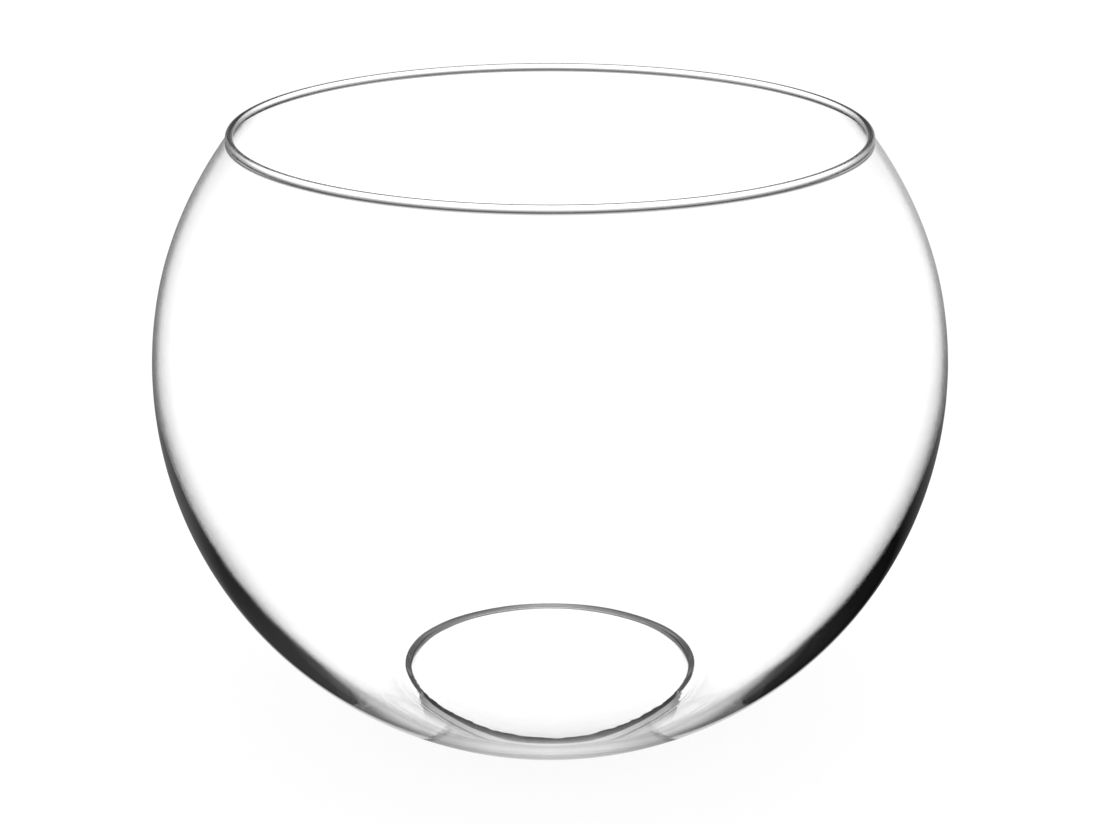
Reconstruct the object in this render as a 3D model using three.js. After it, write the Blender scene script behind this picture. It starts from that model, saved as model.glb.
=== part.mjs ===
// Globe vase of clear blown glass: a sphere opened at the top, with a rounded rim and a flattened base.
// Millimetres, +Z up. z = 0 is the table, and the axis of the globe is x = y = 0.
import * as THREE from "three";

// Globe
const GLOBE_RADIUS = 150;
const WALL_AT_RIM = 1.2;
const WALL_AT_EQUATOR = 0.95;
const WALL_LOW = 3.5;
const WALL_LOW_FROM = -46;

// Neck, where the globe draws in a little below its rim
const NECK_FROM = 12;
const NECK_DRAW = 1;

// Rim, a fire-polished bead on the cut edge of the globe. The mouth is measured to the middle of the bead.
const MOUTH_RADIUS = 117.5;
const BEAD_RADIUS = 1.4;
const BEAD_INSET = 1.05;
const RIM_JOINT_DROP = 2.4;

// Base, where the glass was pressed flat and pushed up so that it stands on a narrow ring
const BEARING_RING_RADIUS = 62.2;
const BEARING_RING_FLAT = 1.6;
const BEARING_RING_ROUND = 2;
const PUSH_UP_HEIGHT = 2.2;
const PUSH_UP_SLOPE = 40;
const FLOOR_HEIGHT = 3.6;
const FLOOR_BLEND = 2;
const FLOOR_EDGE_ANGLE = -72;
const BASE_JOINT_HEIGHT = 8;

const SEGMENTS = 60;

const GLASS = new THREE.MeshStandardMaterial({
  color: 0xf4f6f6,
  roughness: 0.03,
  metalness: 0,
  transparent: true,
  opacity: 0.35,
});

const radians = (degrees) => (degrees * Math.PI) / 180;
const degrees = (angle) => (angle * 180) / Math.PI;
const point = (r, z) => new THREE.Vector2(r, z);

// The globe stands as high as its bearing ring lets it, and its bead sits where it is as wide as the mouth.
const side = (long, short) => Math.sqrt(long ** 2 - short ** 2);
const CENTRE_HEIGHT =
  BEARING_RING_ROUND + side(GLOBE_RADIUS - BEARING_RING_ROUND, BEARING_RING_RADIUS);
const BEAD_REACH = GLOBE_RADIUS - BEAD_INSET;
const BEAD_HEIGHT = CENTRE_HEIGHT + side(BEAD_REACH, MOUTH_RADIUS);
const RIM_JOINT_HEIGHT = BEAD_HEIGHT - RIM_JOINT_DROP;

// Even steps from one value to another, both ends included.
const steps = (from, to, count) =>
  Array.from({ length: count + 1 }, (_, i) => from + ((to - from) * i) / count);

// A share from 0 to 1 that starts and ends softly.
function eased(share) {
  const held = Math.min(Math.max(share, 0), 1);
  return held * held * (3 - 2 * held);
}

// Wall thickness by angle above the equator: thin above, thickest low down where the hot glass sagged.
const beadAngle = degrees(Math.acos(MOUTH_RADIUS / BEAD_REACH));
const WALL_STATIONS = [
  [beadAngle, WALL_AT_RIM],
  [0, WALL_AT_EQUATOR],
  [WALL_LOW_FROM, WALL_LOW],
  [-90, WALL_LOW],
];
function wallThickness(angle) {
  const lower = WALL_STATIONS.findIndex(([stationAngle]) => stationAngle <= angle);
  if (lower === 0) return WALL_AT_RIM;
  const [angleAbove, wallAbove] = WALL_STATIONS[lower - 1];
  const [angleBelow, wallBelow] = WALL_STATIONS[lower];
  return wallAbove + (wallBelow - wallAbove) * eased((angleAbove - angle) / (angleAbove - angleBelow));
}

// The outside of the globe by the same angle: a sphere that draws in at the neck.
function outerRadius(angle) {
  return GLOBE_RADIUS - NECK_DRAW * eased((angle - NECK_FROM) / (beadAngle - NECK_FROM));
}

// A point on the outside of the globe, and one on the inside, which runs softly into the floor.
function outerPoint(angle) {
  const radius = outerRadius(angle);
  return point(radius * Math.cos(radians(angle)), CENTRE_HEIGHT + radius * Math.sin(radians(angle)));
}
function innerPoint(angle) {
  const radius = outerRadius(angle) - wallThickness(angle);
  const sphereHeight = CENTRE_HEIGHT + radius * Math.sin(radians(angle));
  const above = sphereHeight - FLOOR_HEIGHT;
  const height = FLOOR_HEIGHT + (above + Math.hypot(above, FLOOR_BLEND)) / 2;
  return point(radius * Math.cos(radians(angle)), height);
}

// The angle at which the outside, or the inside, of the globe is at a height.
function angleAt(pointAt, height) {
  let low = -89;
  let high = 80;
  for (let i = 0; i < 60; i++) {
    const middle = (low + high) / 2;
    if (pointAt(middle).y < height) low = middle;
    else high = middle;
  }
  return (low + high) / 2;
}
const outerAngleAt = (height) => angleAt(outerPoint, height);
const innerAngleAt = (height) => angleAt(innerPoint, height);

// The outside and the inside of the wall at the two joint heights. Neighbouring pieces share these points.
const rimOuter = point(outerPoint(outerAngleAt(RIM_JOINT_HEIGHT)).x, RIM_JOINT_HEIGHT);
const rimInner = point(innerPoint(innerAngleAt(RIM_JOINT_HEIGHT)).x, RIM_JOINT_HEIGHT);
const baseOuter = point(outerPoint(outerAngleAt(BASE_JOINT_HEIGHT)).x, BASE_JOINT_HEIGHT);
const baseInner = point(innerPoint(innerAngleAt(BASE_JOINT_HEIGHT)).x, BASE_JOINT_HEIGHT);

// A profile of (radius, height) points turned round the axis.
function turned(name, profile) {
  const geometry = new THREE.LatheGeometry(profile, SEGMENTS).rotateX(Math.PI / 2);
  const mesh = new THREE.Mesh(geometry, GLASS);
  mesh.name = name;
  return mesh;
}

// Rim bead: a round bead at the end of the wall, with the short piece of wall that runs into it.
function rimBead() {
  const endOf = (radius) => {
    const cosine = (radius ** 2 + BEAD_REACH ** 2 - BEAD_RADIUS ** 2) / (2 * radius * BEAD_REACH);
    return beadAngle - degrees(Math.acos(cosine));
  };
  const rimRadius = outerRadius(beadAngle);
  const outerEnd = outerPoint(endOf(rimRadius));
  const innerEnd = innerPoint(endOf(rimRadius - WALL_AT_RIM));
  const turnOf = (end) => Math.atan2(end.y - BEAD_HEIGHT, end.x - MOUTH_RADIUS);
  const arc = steps(turnOf(outerEnd), turnOf(innerEnd) + 2 * Math.PI, 16)
    .slice(1, -1)
    .map((a) => point(MOUTH_RADIUS + BEAD_RADIUS * Math.cos(a), BEAD_HEIGHT + BEAD_RADIUS * Math.sin(a)));
  return turned("rim_bead", [rimInner, rimOuter, outerEnd, ...arc, innerEnd, rimInner]);
}

// Bowl wall: the globe between the rim joint and the base joint.
function bowlWall() {
  const lower = steps(outerAngleAt(BASE_JOINT_HEIGHT), 0, 24).slice(1);
  const upper = steps(0, outerAngleAt(RIM_JOINT_HEIGHT), 14).slice(1, -1);
  const outside = [...lower, ...upper].map(outerPoint);
  const inside = steps(innerAngleAt(RIM_JOINT_HEIGHT), innerAngleAt(BASE_JOINT_HEIGHT), 38)
    .slice(1, -1)
    .map(innerPoint);
  return turned("bowl_wall", [baseInner, baseOuter, ...outside, rimOuter, rimInner, ...inside, baseInner]);
}

// Base dish: a flat floor, the heel and the bearing ring, with the underside pushed up inside the ring.
function baseDish() {
  const ringInner = BEARING_RING_RADIUS - BEARING_RING_FLAT;
  const heelAngle = degrees(Math.atan2(BEARING_RING_ROUND - CENTRE_HEIGHT, BEARING_RING_RADIUS));
  const rounded = (centreRadius, angle) =>
    point(
      centreRadius + BEARING_RING_ROUND * Math.cos(radians(angle)),
      BEARING_RING_ROUND * (1 + Math.sin(radians(angle))),
    );
  const innerRound = steps(-90 - PUSH_UP_SLOPE, -90, 4)
    .slice(0, -1)
    .map((a) => rounded(ringInner, a));
  const outerRound = steps(-90, heelAngle, 3)
    .slice(1)
    .map((a) => rounded(BEARING_RING_RADIUS, a));
  const ring = [...innerRound, point(ringInner, 0), point(BEARING_RING_RADIUS, 0), ...outerRound];
  const slopeFoot = innerRound[0];
  const slopeRun = (PUSH_UP_HEIGHT - slopeFoot.y) / Math.tan(radians(PUSH_UP_SLOPE));
  const underside = [point(0, PUSH_UP_HEIGHT), point(slopeFoot.x - slopeRun, PUSH_UP_HEIGHT)];
  const heel = steps(heelAngle, outerAngleAt(BASE_JOINT_HEIGHT), 4).slice(1, -1).map(outerPoint);
  const inside = steps(innerAngleAt(BASE_JOINT_HEIGHT), FLOOR_EDGE_ANGLE, 7).slice(1).map(innerPoint);
  const floorCentre = point(0, inside[inside.length - 1].y);
  return turned("base_dish", [...underside, ...ring, ...heel, baseOuter, baseInner, ...inside, floorCentre]);
}

const vase = new THREE.Group();
vase.add(rimBead(), bowlWall(), baseDish());

export default vase;
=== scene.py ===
# Globe vase of clear blown glass on a white table, in metres, +Z up, z = 0 on the table.
import math

import bmesh
import bpy
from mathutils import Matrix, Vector


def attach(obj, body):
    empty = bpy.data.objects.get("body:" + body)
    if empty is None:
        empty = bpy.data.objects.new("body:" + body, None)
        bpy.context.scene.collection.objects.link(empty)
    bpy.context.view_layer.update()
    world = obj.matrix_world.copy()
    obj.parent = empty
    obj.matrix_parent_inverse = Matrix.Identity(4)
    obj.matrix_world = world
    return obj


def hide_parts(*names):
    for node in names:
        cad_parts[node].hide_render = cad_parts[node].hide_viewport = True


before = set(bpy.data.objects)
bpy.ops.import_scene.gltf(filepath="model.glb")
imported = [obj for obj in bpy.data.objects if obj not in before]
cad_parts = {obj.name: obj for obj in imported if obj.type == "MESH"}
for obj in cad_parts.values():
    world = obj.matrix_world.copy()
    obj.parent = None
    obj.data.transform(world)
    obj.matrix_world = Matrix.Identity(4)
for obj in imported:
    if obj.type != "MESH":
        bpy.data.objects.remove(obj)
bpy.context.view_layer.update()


# Globe wall
# A bubble of clear glass, blown to a sphere and opened at the top, a little drawn in at its neck.
# The hot glass sagged while it was turned, so the wall is thin above and thickest low down.
MM = 0.001
GLOBE_RADIUS = 150 * MM
BEARING_RADIUS = 62.2 * MM
BEARING_ROUND = 2 * MM
NECK_FROM = 12
NECK_TO = 38
NECK_DRAW = 1.0 * MM

# Angles are in degrees above the equator. A station of the wall is (angle, thickness in millimetres).
WALL_STATIONS = [(38, 1.2), (0, 0.95), (-46, 3.5), (-90, 3.5)]

# The globe stands as high as the rounded edge of its bearing ring lets it.
CENTRE_HEIGHT = BEARING_ROUND + math.sqrt((GLOBE_RADIUS - BEARING_ROUND) ** 2 - BEARING_RADIUS**2)


def eased(share):
    share = min(max(share, 0), 1)
    return share * share * (3 - 2 * share)


def wall_thickness(angle):
    for (upper, thick), (lower, thick_below) in zip(WALL_STATIONS, WALL_STATIONS[1:]):
        if angle >= lower:
            share = eased((upper - angle) / (upper - lower))
            return (thick + (thick_below - thick) * share) * MM
    return WALL_STATIONS[-1][1] * MM


def outer_radius(angle):
    return GLOBE_RADIUS - NECK_DRAW * eased((angle - NECK_FROM) / (NECK_TO - NECK_FROM))


# A point of the profile is (radius, height).
def on_sphere(radius, angle):
    turn = math.radians(angle)
    return radius * math.cos(turn), CENTRE_HEIGHT + radius * math.sin(turn)


# Base
# The bottom of the bubble, pressed on a flat plate while hot and pushed up in the middle.
# It stands on a narrow rounded ring, and its floor inside is flat and runs softly into the wall.
BEARING_FLAT = 1.6 * MM
PUSH_UP_HEIGHT = 2.2 * MM
PUSH_UP_SLOPE = 40
FLOOR_HEIGHT = 3.6 * MM
FLOOR_BLEND = 2 * MM
FLOOR_EDGE_ANGLE = -72
UNDERSIDE_STEPS = 12
SLOPE_STEPS = 3
INNER_ROUND_STEPS = 12
OUTER_ROUND_STEPS = 10


def steps(start, end, count):
    return [start + (end - start) * i / count for i in range(count + 1)]


def bearing_round(centre, start, end, count):
    turns = [math.radians(angle) for angle in steps(start, end, count)]
    return [(centre + BEARING_ROUND * math.cos(t), BEARING_ROUND * (1 + math.sin(t))) for t in turns]


def inner_point(angle):
    radius, height = on_sphere(outer_radius(angle) - wall_thickness(angle), angle)
    above = height - FLOOR_HEIGHT
    return radius, FLOOR_HEIGHT + (above + math.hypot(above, FLOOR_BLEND)) / 2


heel_angle = math.degrees(math.atan2(BEARING_ROUND - CENTRE_HEIGHT, BEARING_RADIUS))
inner_round = bearing_round(BEARING_RADIUS - BEARING_FLAT, -90 - PUSH_UP_SLOPE, -90, INNER_ROUND_STEPS)
outer_round = bearing_round(BEARING_RADIUS, -90, heel_angle, OUTER_ROUND_STEPS)
foot_radius, foot_height = inner_round[0]
push_up_radius = foot_radius - (PUSH_UP_HEIGHT - foot_height) / math.tan(math.radians(PUSH_UP_SLOPE))
underside = [(radius, PUSH_UP_HEIGHT) for radius in steps(0, push_up_radius, UNDERSIDE_STEPS)]
slope_radii = steps(push_up_radius, foot_radius, SLOPE_STEPS)
slope_heights = steps(PUSH_UP_HEIGHT, foot_height, SLOPE_STEPS)
slope = list(zip(slope_radii, slope_heights))
base_profile = underside + slope[1:-1] + inner_round + outer_round


# Rim
# The cut edge of the bubble, melted in the flame until the glass drew itself into a round bead.
# The mouth is measured to the middle of the bead, and both sides of the wall end on the bead.
MOUTH_RADIUS = 117.5 * MM
BEAD_RADIUS = 1.4 * MM
BEAD_INSET = 1.05 * MM
BEAD_STEPS = 40
LOWER_WALL_STEPS = 110
UPPER_WALL_STEPS = 60
INNER_WALL_STEPS = 180
FLOOR_STEPS = 10

bead_reach = GLOBE_RADIUS - BEAD_INSET
bead_angle = math.degrees(math.acos(MOUTH_RADIUS / bead_reach))
bead_centre = on_sphere(bead_reach, bead_angle)


def end_at_bead(radius):
    cosine = (radius**2 + bead_reach**2 - BEAD_RADIUS**2) / (2 * radius * bead_reach)
    return bead_angle - math.degrees(math.acos(cosine))


def turn_on_bead(point):
    return math.atan2(point[1] - bead_centre[1], point[0] - bead_centre[0])


def on_bead(turn):
    return bead_centre[0] + BEAD_RADIUS * math.cos(turn), bead_centre[1] + BEAD_RADIUS * math.sin(turn)


rim_radius = outer_radius(bead_angle)
outer_end = end_at_bead(rim_radius)
inner_end = end_at_bead(rim_radius - wall_thickness(bead_angle))
outer_angles = steps(heel_angle, 0, LOWER_WALL_STEPS) + steps(0, outer_end, UPPER_WALL_STEPS)[1:]
outer_wall = [on_sphere(outer_radius(angle), angle) for angle in outer_angles]
inner_angles = steps(inner_end, FLOOR_EDGE_ANGLE, INNER_WALL_STEPS)
inner_wall = [inner_point(angle) for angle in inner_angles]
bead_start = turn_on_bead(outer_wall[-1])
bead_end = turn_on_bead(inner_wall[0]) + 2 * math.pi
bead = [on_bead(turn) for turn in steps(bead_start, bead_end, BEAD_STEPS)]
floor_radius, floor_height = inner_wall[-1]
inner_floor = [(radius, floor_height) for radius in steps(floor_radius, 0, FLOOR_STEPS)]


# Glass
# Rim, wall and base are one continuous piece of clear glass, so they are one closed skin.
# The outside is smooth, and very faint ripples from the blowing run round the inside of the wall.
SKIN_SEGMENTS = 220
ON_AXIS = 1e-9
RIPPLE_DEPTH = 0.001 * MM
RIPPLES_START = (-48, -34)
RIPPLES_END = (24, 34)

# A ripple is (waves round the globe, waves in a metre of height, shift in radians).
RIPPLES = [(1, 33, 0.4), (2, -51, 1.9), (3, 72, 3.1), (4, -24, 5.2), (5, 95, 2.6), (9, 18, 0.9)]

scene = bpy.context.scene


def ripple_share(angle):
    start, full = RIPPLES_START
    full_end, end = RIPPLES_END
    return eased((angle - start) / (full - start)) * eased((end - angle) / (end - full_end))


def ripple(turn, height):
    return RIPPLE_DEPTH * sum(
        math.sin(waves_round * turn + 2 * math.pi * waves_up * height + shift)
        for waves_round, waves_up, shift in RIPPLES
    )


def turned_skin(name, points):
    mesh = bmesh.new()
    rings = []
    turns = [2 * math.pi * i / SKIN_SEGMENTS for i in range(SKIN_SEGMENTS)]
    for radius, height, rippled in points:
        if radius < ON_AXIS:
            rings.append([mesh.verts.new((0, 0, height))] * SKIN_SEGMENTS)
            continue
        ring = []
        for turn in turns:
            reach = radius + rippled * ripple(turn, height)
            ring.append(mesh.verts.new((reach * math.cos(turn), reach * math.sin(turn), height)))
        rings.append(ring)
    for low, high in zip(rings, rings[1:]):
        for i in range(SKIN_SEGMENTS):
            after = (i + 1) % SKIN_SEGMENTS
            corners = [low[i], low[after], high[after], high[i]]
            face = mesh.faces.new(list(dict.fromkeys(corners)))
            face.smooth = True
    bmesh.ops.recalc_face_normals(mesh, faces=mesh.faces)
    data = bpy.data.meshes.new(name)
    mesh.to_mesh(data)
    mesh.free()
    piece = bpy.data.objects.new(name, data)
    scene.collection.objects.link(piece)
    return piece


profile = [(r, z, 0) for r, z in base_profile + outer_wall[1:] + bead[1:-1]]
profile += [(r, z, ripple_share(angle)) for angle, (r, z) in zip(inner_angles, inner_wall)]
profile += [(r, z, 0) for r, z in inner_floor[1:]]
vase = turned_skin("vase_glass", profile)

# Painted edge shade: the glass is painted greyer the more edge-on it is seen, for dark surroundings.
# An edge shade is (how far edge-on, shade), for the wall, the bead and its top.
GLASS_IOR = 1.5
WALL_EDGE_SHADE = [(0.8, 1.0), (0.84, 0.9), (0.875, 0.4), (0.91, 0.12), (1.0, 0.08)]
BEAD_EDGE_SHADE = [(0.5, 1.0), (0.62, 0.4), (0.74, 0.1), (0.86, 0.04), (1.0, 0.03)]
BEAD_TOP_EDGE_SHADE = [(0.26, 1.0), (0.38, 0.25), (0.5, 0.04), (1.0, 0.02)]
BEAD_FROM = (bead_centre[1] - 1.1 * BEAD_RADIUS, bead_centre[1] - 0.8 * BEAD_RADIUS)
BEAD_TOP_FROM = (bead_centre[1] + 0.78 * BEAD_RADIUS, bead_centre[1] + 0.88 * BEAD_RADIUS)


def feed(tree, socket, value):
    if isinstance(value, bpy.types.NodeSocket):
        tree.links.new(value, socket)
    else:
        socket.default_value = value


def split(tree, vector):
    parts = tree.nodes.new("ShaderNodeSeparateXYZ")
    feed(tree, parts.inputs[0], vector)
    return parts.outputs


def soft_step(tree, value, start, end):
    step = tree.nodes.new("ShaderNodeMapRange")
    step.inputs["From Min"].default_value = start
    step.inputs["From Max"].default_value = end
    feed(tree, step.inputs["Value"], value)
    return step.outputs["Result"]


def shade_ramp(tree, value, shades):
    ramp = tree.nodes.new("ShaderNodeValToRGB")
    stops = ramp.color_ramp.elements
    while len(stops) < len(shades):
        stops.new(0.5)
    for stop, (position, shade) in zip(stops, shades):
        stop.position = position
        stop.color = (shade, shade, shade, 1)
    feed(tree, ramp.inputs["Fac"], value)
    return ramp.outputs["Color"]


def mixed(tree, share, first, second):
    mix = tree.nodes.new("ShaderNodeMix")
    mix.data_type = "RGBA"
    feed(tree, mix.inputs["Factor"], share)
    colours = {socket.name: socket for socket in mix.inputs if socket.type == "RGBA"}
    feed(tree, colours["A"], first)
    feed(tree, colours["B"], second)
    return [socket for socket in mix.outputs if socket.type == "RGBA"][0]


glass = bpy.data.materials.new("clear_blown_glass")
glass.use_nodes = True
tree = glass.node_tree
shader = tree.nodes["Principled BSDF"]
shader.inputs["Roughness"].default_value = 0.0
shader.inputs["IOR"].default_value = GLASS_IOR
shader.inputs["Transmission Weight"].default_value = 1.0
edge_on = tree.nodes.new("ShaderNodeLayerWeight").outputs["Facing"]
spot = tree.nodes.new("ShaderNodeTexCoord").outputs["Object"]
spot_height = split(tree, spot)["Z"]
# Painted shade: the base colour darkens where the glass is seen edge-on, most at the bead and its top.
wall_edge_shade = shade_ramp(tree, edge_on, WALL_EDGE_SHADE)
bead_edge_shade = shade_ramp(tree, edge_on, BEAD_EDGE_SHADE)
top_edge_shade = shade_ramp(tree, edge_on, BEAD_TOP_EDGE_SHADE)
edge_shade = mixed(tree, soft_step(tree, spot_height, *BEAD_FROM), wall_edge_shade, bead_edge_shade)
edge_shade = mixed(tree, soft_step(tree, spot_height, *BEAD_TOP_FROM), edge_shade, top_edge_shade)
feed(tree, shader.inputs["Base Color"], edge_shade)
vase.data.materials.append(glass)

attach(vase, "root")
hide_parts("rim_bead", "bowl_wall", "base_dish")


# Table
# A wide white table top that keeps a faint shadow of the vase. Rays that have met the glass go on
# through it to the white surroundings, so that the glass shows the same white. They see two painted
# shades on it: a dark contact shadow under the front of the bearing ring, and the shade that falls
# before it.
TABLE_HALF = 6.0
TABLE_HEIGHT = -0.2 * MM
WHITE = (1, 1, 1, 1)
TABLE_COLOUR = (0.85, 0.85, 0.85, 1)
TABLE_GLOW = 1.06
SHADOW_SHARE = 0.12
UNEVEN_SCALE = (110, 450, 110)
UNEVEN_DEPTH = 2.5 * MM


def worked(tree, operation, *values):
    node = tree.nodes.new("ShaderNodeMath")
    node.operation = operation
    for socket, value in zip(node.inputs, values):
        feed(tree, socket, value)
    return node.outputs[0]


def product(tree, first, *others):
    for other in others:
        first = worked(tree, "MULTIPLY", first, other)
    return first


# The turns and crossings of a ray are counted in whole numbers, so a count is set against a half.
def at_least(tree, counted, number):
    return worked(tree, "GREATER_THAN", counted, number - 0.5)


def vector_work(tree, operation, first, second=(0, 0, 0)):
    node = tree.nodes.new("ShaderNodeVectorMath")
    node.operation = operation
    feed(tree, node.inputs[0], first)
    node.inputs[1].default_value = second
    return node.outputs


def glowing(tree, colour, strength=1):
    glow = tree.nodes.new("ShaderNodeEmission")
    feed(tree, glow.inputs["Color"], colour)
    glow.inputs["Strength"].default_value = strength
    return glow.outputs[0]


def shaded(tree, share, first, second):
    mix = tree.nodes.new("ShaderNodeMixShader")
    feed(tree, mix.inputs["Fac"], share)
    feed(tree, mix.inputs[1], first)
    feed(tree, mix.inputs[2], second)
    return mix.outputs[0]


corners = [(-TABLE_HALF, -TABLE_HALF), (TABLE_HALF, -TABLE_HALF)]
corners += [(TABLE_HALF, TABLE_HALF), (-TABLE_HALF, TABLE_HALF)]
table_mesh = bpy.data.meshes.new("table")
table_mesh.from_pydata([(x, y, TABLE_HEIGHT) for x, y in corners], [], [(0, 1, 2, 3)])
table = bpy.data.objects.new("table", table_mesh)
scene.collection.objects.link(table)

white = bpy.data.materials.new("white_table")
white.use_nodes = True
tree = white.node_tree
tree.nodes.remove(tree.nodes["Principled BSDF"])
path = tree.nodes.new("ShaderNodeLightPath").outputs
matt = tree.nodes.new("ShaderNodeBsdfDiffuse")
matt.inputs["Color"].default_value = TABLE_COLOUR
seen = shaded(tree, SHADOW_SHARE, glowing(tree, WHITE, TABLE_GLOW), matt.outputs[0])
lit = shaded(tree, path["Is Camera Ray"], matt.outputs[0], seen)

spot = tree.nodes.new("ShaderNodeTexCoord").outputs["Object"]
across = split(tree, spot)
reach = vector_work(tree, "LENGTH", spot)["Value"]
uneven = tree.nodes.new("ShaderNodeTexNoise")
uneven.inputs["Scale"].default_value = 1
uneven.inputs["Detail"].default_value = 1
feed(tree, uneven.inputs["Vector"], vector_work(tree, "MULTIPLY", spot, UNEVEN_SCALE)["Vector"])
strayed = product(tree, worked(tree, "SUBTRACT", uneven.outputs["Fac"], 0.5), UNEVEN_DEPTH)

# The painted contact shadow is a crescent between two circles, the inner one set back and uneven.
CONTACT_SHADOW_OUTER = 59.4 * MM
CONTACT_SHADOW_INNER = 59.9 * MM
CONTACT_SHADOW_BACK = 5 * MM
CONTACT_SHADOW_FADE = (15 * MM, -5 * MM)
CONTACT_SHADOW_COLOUR = (0.005, 0.005, 0.005, 1)
in_outer = worked(tree, "LESS_THAN", reach, CONTACT_SHADOW_OUTER)
from_back = vector_work(tree, "DISTANCE", spot, (0, CONTACT_SHADOW_BACK, 0))["Value"]
past_inner = worked(tree, "GREATER_THAN", worked(tree, "ADD", from_back, strayed), CONTACT_SHADOW_INNER)
contact_shadow = product(tree, in_outer, past_inner, soft_step(tree, across["Y"], *CONTACT_SHADOW_FADE))

# The painted fall shade narrows towards the front. Rays that went straight see it only close beside
# the ring.
# Its shades are (share of the way to its side, shade).
FALL_START = -20 * MM
FALL_END = -86 * MM
FALL_HALF = 58.4 * MM
FALL_TAPER = 0.176
FALL_BESIDE = (69 * MM, 64 * MM)
FALL_SOFT = (-14 * MM, -30 * MM)
FALL_SHADES = [(0.0, 0.82), (0.5, 0.74), (0.8, 0.55), (0.93, 0.5), (0.965, 0.3), (1.0, 0.3)]
tapered = worked(tree, "MULTIPLY_ADD", across["Y"], FALL_TAPER, FALL_HALF)
fall_half = worked(tree, "ADD", tapered, strayed)
sidewards = worked(tree, "DIVIDE", worked(tree, "ABSOLUTE", across["X"]), fall_half)
past_start = worked(tree, "LESS_THAN", across["Y"], FALL_START)
past_ring = worked(tree, "GREATER_THAN", reach, CONTACT_SHADOW_OUTER)
before_end = worked(tree, "GREATER_THAN", across["Y"], FALL_END)
beside = product(tree, soft_step(tree, reach, *FALL_BESIDE), soft_step(tree, across["Y"], *FALL_SOFT))
shown = worked(tree, "MAXIMUM", at_least(tree, path["Glossy Depth"], 1), beside)
within = worked(tree, "LESS_THAN", sidewards, 1)
fall_shade_mask = product(tree, past_start, past_ring, before_end, shown, within)

clear = tree.nodes.new("ShaderNodeBsdfTransparent").outputs[0]
# Painted shade: rays that met the glass see the fall as a grey glow on the table, and see through it
# elsewhere.
below = shaded(tree, fall_shade_mask, clear, glowing(tree, shade_ramp(tree, sidewards, FALL_SHADES)))
# Painted contact shadow: rays from the glass see a near-black glow under the front of the ring.
below = shaded(tree, contact_shadow, below, glowing(tree, CONTACT_SHADOW_COLOUR))
met_glass = worked(tree, "MAXIMUM", path["Is Glossy Ray"], path["Is Transmission Ray"])
feed(tree, tree.nodes["Material Output"].inputs["Surface"], shaded(tree, met_glass, lit, below))
table_mesh.materials.append(white)


# Light
# White all round at a plain level, as in a light tent. Rays that go straight through the glass meet
# white low down. Those that its edges turn meet the darker parts of the tent, by how often they were
# turned, how often they crossed its surface and which way they leave it.
THROUGH_ONE_WALL = [(-90, 1), (-40, 1.5), (-18, 1.4), (-9, 1.4), (-2, 1.05)]
THROUGH_ONE_WALL += [(6, 0.7), (14, 0.4), (22, 0.26), (90, 0.2)]
THROUGH_TWO_WALLS = [(-90, 1.2), (-40, 1.5), (-32, 1.5), (-26, 1.5), (-18, 1.5), (-10, 1.3)]
THROUGH_TWO_WALLS += [(-2, 1.05), (6, 0.7), (14, 0.35), (22, 0.2), (90, 0.15)]
ON_SURFACE_BELOW = [(-90, 0.1), (-65, 0.12), (-61, 0.6), (-55, 0.85), (-51, 0.6), (-48, 0.25)]
ON_SURFACE_LEFT = [(-44, 0.1), (-38, 0.07), (-33, 0.06), (-27, 0.16), (-18, 0.2), (-8, 0.4), (0, 0.5)]
ON_SURFACE_RIGHT = [(-44, 0.04), (-38, 0.02), (-30, 0.006), (-26, 0.07)]
ON_SURFACE_RIGHT += [(-18, 0.2), (-13, 0.5), (-8, 0.75), (0, 0.85)]
ON_SURFACE_ABOVE = [(10, 0.25), (30, 0.12), (45, 0.5), (60, 1), (90, 1)]
SIDE_SOFT = 0.15
IN_WALL = [(-90, 0.1), (-62, 0.15), (-58.5, 0.6), (-55, 0.9), (-46, 0.92), (-43, 0.75), (-40, 0.45)]
IN_WALL += [(-36, 0.4), (-25, 0.55), (-18, 0.9), (-12, 1), (18, 1), (32, 0.1), (90, 0.1)]
TURNED_INSIDE = [(-90, 1), (10, 1), (22, 0.1), (90, 0.1)]
TRAPPED = [(-90, 0.1), (-51, 0.1), (-48, 0.1), (-45, 0.04), (-5, 0.02)]
TRAPPED += [(10, 0.004), (38, 0.004), (42, 0.06), (90, 0.06)]
TRAPPED_OVERHEAD = (0.45, 0.45, 0.45, 1)
OVERHEAD_SIDES = (0.16, 0.04)
OVERHEAD_RISE = 0.6
AHEAD_COLOUR = (0.9, 0.9, 0.9, 1)
AHEAD_HEIGHTS = [(-90, 1), (-61, 1), (-57, 0), (-32, 0), (-26, 1), (90, 1)]
AHEAD_HALF = math.radians(25.7)
AHEAD_LEAN = math.radians(26.5)
AHEAD_SOFT = math.radians(4)

world = bpy.data.worlds.new("light_tent")
scene.world = world
world.use_nodes = True
tree = world.node_tree
way = split(tree, tree.nodes.new("ShaderNodeTexCoord").outputs["Generated"])
rise = soft_step(tree, way["Z"], -1, 1)


# The shades are (degrees above the horizon, shade).
def by_elevation(shades):
    stops = [((math.sin(math.radians(angle)) + 1) / 2, shade) for angle, shade in shades]
    return shade_ramp(tree, rise, stops)


def fewer_than(tree, counted, number):
    return worked(tree, "LESS_THAN", counted, number - 0.5)


path = tree.nodes.new("ShaderNodeLightPath").outputs
turns = path["Glossy Depth"]
crossings = path["Transmission Depth"]
turned = at_least(tree, turns, 1)
in_wall = product(tree, turned, fewer_than(tree, crossings, 3))
on_surface = product(tree, turned, fewer_than(tree, crossings, 1))
trapped = product(tree, in_wall, at_least(tree, turns, 2))
trapped = worked(tree, "MAXIMUM", trapped, at_least(tree, turns, 4))

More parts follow.
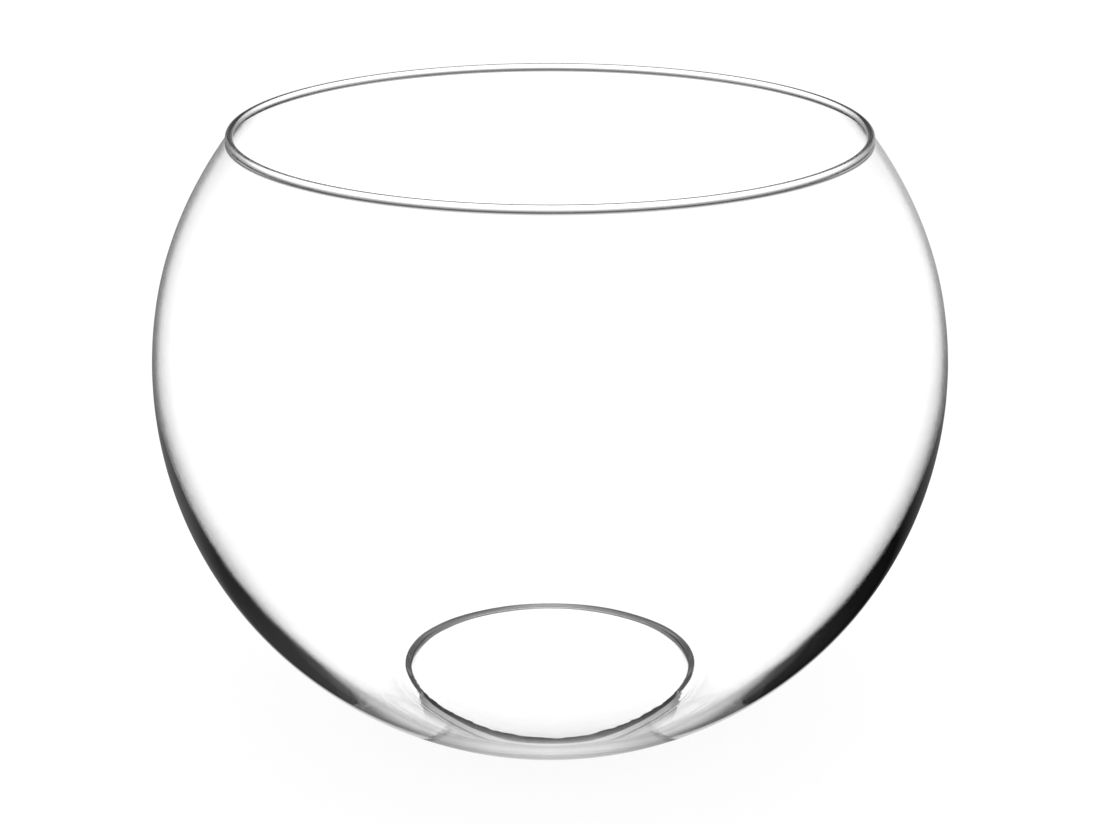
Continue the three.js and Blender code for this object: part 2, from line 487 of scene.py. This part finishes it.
# A light part of the tent lies low behind the vase, and narrows downwards.
sideways = worked(tree, "ABSOLUTE", worked(tree, "ARCTAN2", way["X"], way["Y"]))
ahead_half = worked(tree, "ADD", product(tree, way["Z"], AHEAD_LEAN), AHEAD_HALF)
aside = soft_step(tree, worked(tree, "SUBTRACT", sideways, ahead_half), 0, AHEAD_SOFT)
aside = mixed(tree, aside, by_elevation(AHEAD_HEIGHTS), WHITE)

surface_left = by_elevation(ON_SURFACE_BELOW + ON_SURFACE_LEFT + ON_SURFACE_ABOVE)
surface_right = by_elevation(ON_SURFACE_BELOW + ON_SURFACE_RIGHT + ON_SURFACE_ABOVE)
surface = mixed(tree, soft_step(tree, way["X"], -SIDE_SOFT, SIDE_SOFT), surface_left, surface_right)
past_two_walls = at_least(tree, crossings, 4)
straight = mixed(tree, past_two_walls, by_elevation(THROUGH_ONE_WALL), by_elevation(THROUGH_TWO_WALLS))
high_up = worked(tree, "GREATER_THAN", way["Z"], OVERHEAD_RISE)
near_middle = soft_step(tree, worked(tree, "ABSOLUTE", way["X"]), *OVERHEAD_SIDES)
overhead = product(tree, near_middle, high_up)
held = mixed(tree, overhead, by_elevation(TRAPPED), TRAPPED_OVERHEAD)

in_glass = mixed(tree, turned, straight, by_elevation(TURNED_INSIDE))
in_glass = mixed(tree, in_wall, in_glass, mixed(tree, aside, AHEAD_COLOUR, by_elevation(IN_WALL)))
in_glass = mixed(tree, on_surface, in_glass, mixed(tree, aside, AHEAD_COLOUR, surface))
in_glass = mixed(tree, trapped, in_glass, held)
met_glass = worked(tree, "MAXIMUM", path["Is Glossy Ray"], path["Is Transmission Ray"])
feed(tree, tree.nodes["Background"].inputs["Color"], mixed(tree, met_glass, WHITE, in_glass))


# Camera
# A short telephoto view from a little above, aimed below the middle of the globe.
# Light goes round many times inside the glass, so it is followed for many bounces.
CAMERA_DISTANCE = 0.86
CAMERA_ELEVATION = 18.54
CAMERA_AIM_BELOW = 1.2365
FOCAL_PIXELS = 2246.9
IMAGE_WIDTH = 1100
SENSOR_WIDTH = 36
GLASS_BOUNCES = 256

lens = bpy.data.cameras.new("camera")
camera = bpy.data.objects.new("camera", lens)
scene.collection.objects.link(camera)
scene.camera = camera
lens.sensor_width = SENSOR_WIDTH
lens.lens = SENSOR_WIDTH * FOCAL_PIXELS / IMAGE_WIDTH
elevation = math.radians(CAMERA_ELEVATION)
away = Vector((0, -math.cos(elevation), math.sin(elevation))) * CAMERA_DISTANCE
camera.location = away + Vector((0, 0, CENTRE_HEIGHT))
camera.rotation_euler = (math.radians(90 - CAMERA_ELEVATION - CAMERA_AIM_BELOW), 0, 0)

scene.view_settings.view_transform = "Standard"
scene.cycles.max_bounces = GLASS_BOUNCES
scene.cycles.transmission_bounces = GLASS_BOUNCES
scene.cycles.glossy_bounces = GLASS_BOUNCES
scene.cycles.transparent_max_bounces = GLASS_BOUNCES
